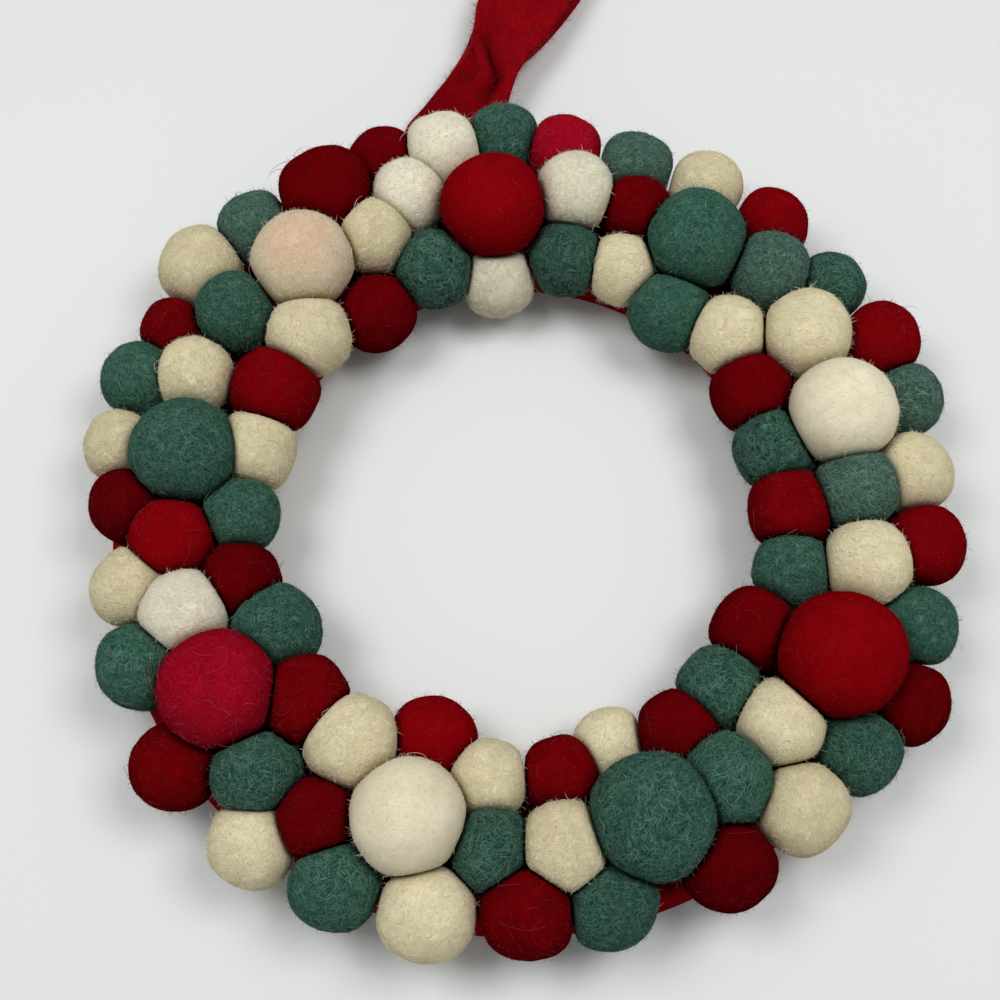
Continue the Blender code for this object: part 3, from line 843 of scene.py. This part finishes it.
def loose_fibre(name, wool):
    """Single wool fibres. To the eye they are paler than the mat, because light passes through them."""
    made, tree = new_material(name)
    place = add_node(tree, "ShaderNodeTexCoord").outputs["Object"]
    uneven = add_node(tree, "ShaderNodeTexNoise", {"Vector": place, "Scale": 1 / (4 * MM), "Detail": 1.0})
    colour = add_node(tree, "ShaderNodeMix", {
        0: uneven.outputs[0], 6: linear(wool.body), 7: linear(wool.fibre),
    }, data_type="RGBA").outputs[2]
    shader = add_node(tree, "ShaderNodeBsdfPrincipled", {
        "Base Color": colour,
        "Roughness": 0.7,
        "IOR": 1.55,
        "Specular IOR Level": 0.1,
    })
    add_node(tree, "ShaderNodeOutputMaterial", {"Surface": shader.outputs[0]})
    return made


def painted_floor():
    """A table top painted white. To the eye it is smooth, matt and very slightly cloudy."""
    made, tree = new_material("matt_white_table")
    place = add_node(tree, "ShaderNodeTexCoord").outputs["Object"]
    cloud = add_node(tree, "ShaderNodeTexNoise", {"Vector": place, "Scale": 3.0, "Detail": 1.0})
    colour = add_node(tree, "ShaderNodeMix", {
        0: cloud.outputs[0], 6: linear("e6e8e6"), 7: linear("ecedeb"),
    }, data_type="RGBA").outputs[2]
    shader = add_node(tree, "ShaderNodeBsdfPrincipled", {
        "Base Color": colour, "Roughness": 0.6, "Specular IOR Level": 0.3,
    })
    add_node(tree, "ShaderNodeOutputMaterial", {"Surface": shader.outputs[0]})
    return made


# One material for each wool and its loose fibres, and for the craft felt and its own
WOOL_SURFACES = {wool: felt_surface(f"felted_wool_{wool}", look) for wool, look in WOOLS.items()}
WOOL_FIBRES = {wool: loose_fibre(f"wool_fibre_{wool}", look) for wool, look in WOOLS.items()}
CRAFT_FELT = felt_surface("pressed_craft_felt_red", FELT)
CRAFT_FIBRE = loose_fibre("craft_felt_fibre_red", FELT)


# The covered ring


def add_ring():
    """The ring: its section's rounded top and flat back, carried round in a full turn."""
    radii, heights = base_section(RING_TOP_STEPS)
    back = np.linspace(radii[-1], radii[0], RING_BACK_STEPS + 2)[1:-1]
    section = np.concatenate([
        np.stack([radii, heights], -1),
        np.stack([back, np.zeros_like(back)], -1),
    ])
    turn = np.linspace(0, 2 * pi, RING_TURN_STEPS, endpoint=False)
    around = np.stack([np.sin(turn), np.cos(turn), np.zeros_like(turn)], -1)
    points = around[:, None] * section[None, :, :1] + np.array([0, 0, 1.0]) * section[None, :, 1:]
    faces = grid_faces(len(turn), len(section), True, True)
    # Painted shade darkens the felt under the balls, in the gaps between them, but not at the ring's edges
    # or on its back
    gap_shade_mask = np.clip(1 - np.abs(section[:, 0] - BASE_MIDDLE) / BASE_HALF_WIDTH, 0, 1) * (section[:, 1] > 0)
    gap_shade = np.broadcast_to(smooth_step(gap_shade_mask, *GAP_SHADE_EDGE) * GAP_SHADE, points.shape[:2]).ravel()
    arc = np.arange(len(section)) / len(section) * RING_GIRTH
    flow = np.stack(np.broadcast_arrays(turn[:, None] * BASE_MIDDLE, arc[None, :], 0.0), -1)
    ring = make_piece(
        "covered_ring", (points + RING_CENTRE).reshape(-1, 3), [faces[:, ::-1]], CRAFT_FELT,
        {"bleed": gap_shade, "flow": flow.reshape(-1, 3)},
    )
    ring.data.set_sharp_from_angle(angle=radians(RING_SHARP_ANGLE))
    cut_pocket(ring)
    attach(ring, "root")
    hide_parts("base_ring")


def cut_pocket(ring):
    """Cuts the shallow pocket for the strip's ends out of the ring's back, and leaves a plain mesh."""
    length = BASE_HALF_WIDTH + POCKET_OVERSHOOT
    width = STRIP_WIDTH + 2 * POCKET_SIDE_ROOM
    ahead, across = strip_directions()
    middle = RING_CENTRE + np.array([*STRIP_START, 0]) + ahead * (length / 2 - GAP)
    signs = np.array([(x, y, z) for x in (-1, 1) for y in (-1, 1) for z in (-1, 1)])
    corners = middle + (
        signs[:, :1] * across * width / 2
        + signs[:, 1:2] * ahead * length / 2
        + signs[:, 2:] * np.array([0, 0, POCKET_DEPTH])
    )
    sides = np.array([(0, 1, 3, 2), (4, 6, 7, 5), (0, 4, 5, 1), (2, 3, 7, 6), (0, 2, 6, 4), (1, 5, 7, 3)])
    cutter = make_piece("pocket", corners, [sides], CRAFT_FELT)
    cut = ring.modifiers.new("pocket", "BOOLEAN")
    cut.operation = "DIFFERENCE"
    cut.solver = "EXACT"
    cut.object = cutter
    bpy.context.view_layer.update()
    graph = bpy.context.evaluated_depsgraph_get()
    result = bpy.data.meshes.new_from_object(ring.evaluated_get(graph))
    ring.modifiers.clear()
    ring.data = result
    bpy.data.objects.remove(cutter)


# The hanging loop


def strip_directions():
    """Unit vectors along the strip and across it, to the right."""
    turn = radians(STRIP_BEARING)
    return np.array([sin(turn), cos(turn), 0.0]), np.array([cos(turn), -sin(turn), 0.0])


def strip_surface():
    """The strip's middle surface as a grid, and how deep in shade each of its points lies.

    The rows go up the upper run, round the far end and back below. Across a row the height is the
    edges' height, less a bell-shaped valley with a smaller fork beside it, and the left lip curls
    over by a square law near its edge. Along the strip each size is a smooth curve through the table.
    """
    low, high = STRIP_THICKNESS / 2, UPPER_RUN[-1].height * MM
    bend = (high - low) / 2
    table = np.array(UPPER_RUN, dtype=float)
    along = np.arange(0, LOOP_END_AT, STRIP_STEP)[:, None]
    edge, width, valley, place, curl, spread = (
        smooth_curve(along / MM, table[:, 0], values) for values in table.T[1:]
    )
    side = np.linspace(-1, 1, STRIP_COLUMNS)[None, :]
    level = np.ones_like(side)
    lip = np.clip((LIP_WIDTH - 1 - side) / LIP_WIDTH, 0, 1) ** 2
    bell = np.exp(-(((side - place) / VALLEY_SPREAD) ** 2) / 2)
    fork = FORK_DEPTH * np.exp(-(((side - place + FORK_ASIDE) / VALLEY_SPREAD) ** 2) / 2)
    sideways = (side * width / 2 + lip * curl - np.maximum(-side, 0) * spread) * MM
    upper_height = (edge - valley * (bell + fork) + lip * curl * LIP_RISE) * MM
    # Painted shade in the valley's crease and where the strip dips down to the ring
    crease = VALLEY_SHADE * (bell**3 + fork) * np.clip(valley / DEEP_VALLEY, 0, 1) ** 3
    upper_shade = np.clip(crease + LOW_SHADE * (1 - smooth_step(along / MM, *LOW_REACH)), 0, 1)
    turn = np.linspace(0, pi, LOOP_END_STEPS)[:, None]
    lower_table = np.array(LOWER_RUN, dtype=float)
    back = np.arange(LOOP_END_AT - STRIP_STEP, -STRIP_STEP / 2, -STRIP_STEP * 2)[:, None]
    width, aside = (smooth_curve(back / MM, lower_table[:, 0], values) for values in lower_table.T[1:])
    upper = (along * level, sideways, upper_height)
    end = (
        LOOP_END_AT + bend * np.sin(turn) * level,
        side * STRIP_WIDTH / 2 + 0 * turn,
        low + bend + bend * np.cos(turn) * level,
    )
    lower = (back * level, (side * width / 2 + aside) * MM, low + 0 * back * level)
    lengthwise, across, height = (np.concatenate(parts)[..., None] for parts in zip(upper, end, lower))
    ahead, sidelong = strip_directions()
    start = RING_CENTRE + np.array([*STRIP_START, 0])
    points = start + lengthwise * ahead + across * sidelong + height * np.array([0, 0, 1.0])
    shade = np.zeros(points.shape[:2])
    shade[:len(along)] = upper_shade
    return points, shade


def smooth_curve(at, places, values):
    """Cubics from value to value. The slope at each is a weighted mean of those to its neighbours."""
    slopes = np.gradient(values, places)
    cell = np.clip(np.searchsorted(places, at, side="right") - 1, 0, len(places) - 2)
    size = places[cell + 1] - places[cell]
    part = (at - places[cell]) / size
    rest = 1 - part
    return (
        values[cell] * (1 + 2 * part) * rest**2
        + values[cell + 1] * part**2 * (3 - 2 * part)
        + size * slopes[cell] * part * rest**2
        - size * slopes[cell + 1] * part**2 * rest
    )


def add_loop():
    """The strip as one sheet of felt, given its thickness, and its fuzz."""
    grid, shade = strip_surface()
    rows, columns = grid.shape[:2]
    lengthwise = np.arange(rows)[:, None] * STRIP_STEP
    flow = np.stack(np.broadcast_arrays(lengthwise, np.linspace(0, STRIP_WIDTH, columns), 0.0), -1)
    # The strip's painted shade goes on the same attribute that tints a ball where a red one touches it
    strip = make_piece(
        "felt_loop", grid.reshape(-1, 3), [grid_faces(rows, columns, False)], CRAFT_FELT,
        {"flow": flow.reshape(-1, 3), "bleed": shade.ravel()},
    )
    cloth = strip.modifiers.new("cloth thickness", "SOLIDIFY")
    cloth.thickness = STRIP_THICKNESS
    cloth.offset = 0
    cloth.use_even_offset = True
    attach(strip, "root")
    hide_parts("hanging_loop")
    add_loop_fibres(grid)


def add_loop_fibres(grid):
    """Fuzz on the strip's visible length: short fibres all over it, and more out of its cut edges."""
    rng = np.random.default_rng(FIRST_SEED - 1)
    rows, columns = grid.shape[:2]
    across = unit(np.gradient(grid, axis=1))
    normals = unit(np.cross(across, np.gradient(grid, axis=0)))
    row = rng.integers(FIRST_FUZZY_ROW, rows - ROWS_WITHOUT_FUZZ, FACE_FIBRES + EDGE_FIBRES)
    column = np.concatenate([
        rng.integers(0, columns, FACE_FIBRES), rng.choice([0, columns - 1], EDGE_FIBRES),
    ])
    count = len(row)
    on_edge = (np.arange(count) >= FACE_FIBRES)[:, None]
    face = normals[row, column] * rng.choice([-1.0, 1.0], count)[:, None]
    outward = across[row, column] * np.where(column == 0, -1, 1)[:, None]
    way = unit(np.where(on_edge, outward, face) + rng.normal(size=(count, 3)) * LOOP_FIBRE_SPREAD)
    # A fibre starts just inside the felt: anywhere through its thickness on a cut edge
    depth = np.where(on_edge, rng.uniform(0, 1, (count, 1)), 1) * STRIP_THICKNESS * LOOP_FIBRE_ROOT
    start = grid[row, column] + face * depth
    length = rng.uniform(*LOOP_FIBRE_LENGTH, count)[:, None, None] * MM
    step = np.linspace(0, 1, LOOP_FIBRE_STEPS)[None, :, None]
    drift = rng.normal(size=(count, 1, 3)) * LOOP_FIBRE_DRIFT
    paths = start[:, None] + length * (way[:, None] * step + drift * step**2)
    paths[..., 2] = np.maximum(paths[..., 2], TABLE_CLEARANCE)
    up_ways = np.broadcast_to(np.cross(way, drift[:, 0])[:, None], paths.shape)
    points, faces = tubes(paths, np.full(count, LOOP_FIBRE_THICKNESS * MM), up_ways)
    fuzz = make_piece("loop_fuzz", points, faces, CRAFT_FIBRE)
    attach(fuzz, "root")


# The room: a pale table, soft light from both sides and above, and the camera


def add_floor():
    """The table top, one square face."""
    corners = TABLE_REACH * np.array([(-1, -1, 0), (1, -1, 0), (1, 1, 0), (-1, 1, 0)])
    floor = make_piece("table_top", corners, [np.array([[0, 1, 2, 3]])], painted_floor())


def add_light(name, place, size, power):
    """A square area light that faces the ring's centre."""
    light = bpy.data.lights.new(name, "AREA")
    light.size = size
    light.energy = power
    lamp = bpy.data.objects.new(name, light)
    lamp.location = place
    lamp.rotation_euler = (Vector(RING_CENTRE) - Vector(place)).to_track_quat("-Z", "Y").to_euler()
    bpy.context.collection.objects.link(lamp)


def add_camera():
    """The photograph's view: tilted back from straight above, the ring's centre a little off centre."""
    camera = bpy.data.cameras.new("camera")
    camera.sensor_width = SENSOR
    camera.lens = FOCAL_PIXELS / FRAME_PIXELS * SENSOR
    camera.shift_x = (FRAME_PIXELS / 2 - CENTRE_AT[0]) / FRAME_PIXELS
    camera.shift_y = (CENTRE_AT[1] - FRAME_PIXELS / 2) / FRAME_PIXELS
    camera.clip_start = CLIP_START
    holder = bpy.data.objects.new("camera", camera)
    tilt = radians(CAMERA_ELEVATION)
    holder.location = Vector(RING_CENTRE) + Vector((0, -cos(tilt), sin(tilt))) * CAMERA_DISTANCE
    holder.rotation_euler = (pi / 2 - tilt, 0, 0)
    bpy.context.collection.objects.link(holder)
    bpy.context.scene.camera = holder


def add_world():
    """Even pale light from all round, and colours shown as they are."""
    world = bpy.data.worlds.new("soft_room")
    world.use_nodes = True
    background = world.node_tree.nodes["Background"]
    background.inputs["Color"].default_value = linear(ROOM_COLOUR)
    background.inputs["Strength"].default_value = ROOM_STRENGTH
    bpy.context.scene.world = world
    bpy.context.scene.view_settings.view_transform = "Standard"


add_camera()
add_balls()
add_ring()
add_loop()
add_floor()
for lamp in LAMPS:
    add_light(*lamp)
add_world()
